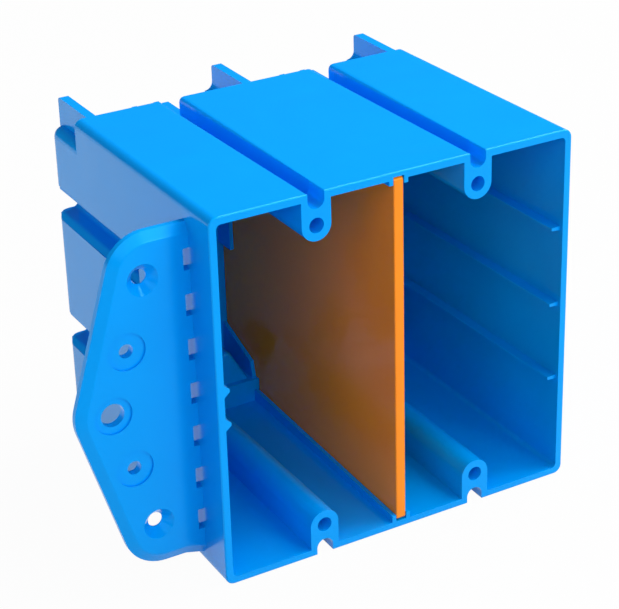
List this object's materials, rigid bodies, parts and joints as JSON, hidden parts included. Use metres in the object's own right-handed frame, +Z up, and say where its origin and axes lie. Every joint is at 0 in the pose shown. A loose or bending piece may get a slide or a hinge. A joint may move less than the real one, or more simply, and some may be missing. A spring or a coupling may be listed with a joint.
{
  "type": "electrical switch box",
  "caption": "Two-gang moulded switch box with a side mounting bracket, stepped rear cable entries and a slide-out partition.",
  "frame": {"origin": "midway between the four device screws, in the plane of the front rim", "axes": "+Z up as the box stands, -Y out of the open front, +X to the right as seen from the front; the bracket stands out towards -X"},
  "size_m": [0.1347, 0.0954, 0.1004],
  "materials": {
    "box_moulding": "moulded, glossy",
    "divider_moulding": "moulded, polished"
  },
  "bodies": {
    "box": {"box": "box_moulding"},
    "divider": {"divider": "divider_moulding"}
  },
  "joints": [
    {"name": "divider_slide", "type": "slide", "parent": "box", "child": "divider", "axis": [0, -1, 0], "range_m": [0, 0.1]}
  ]
}
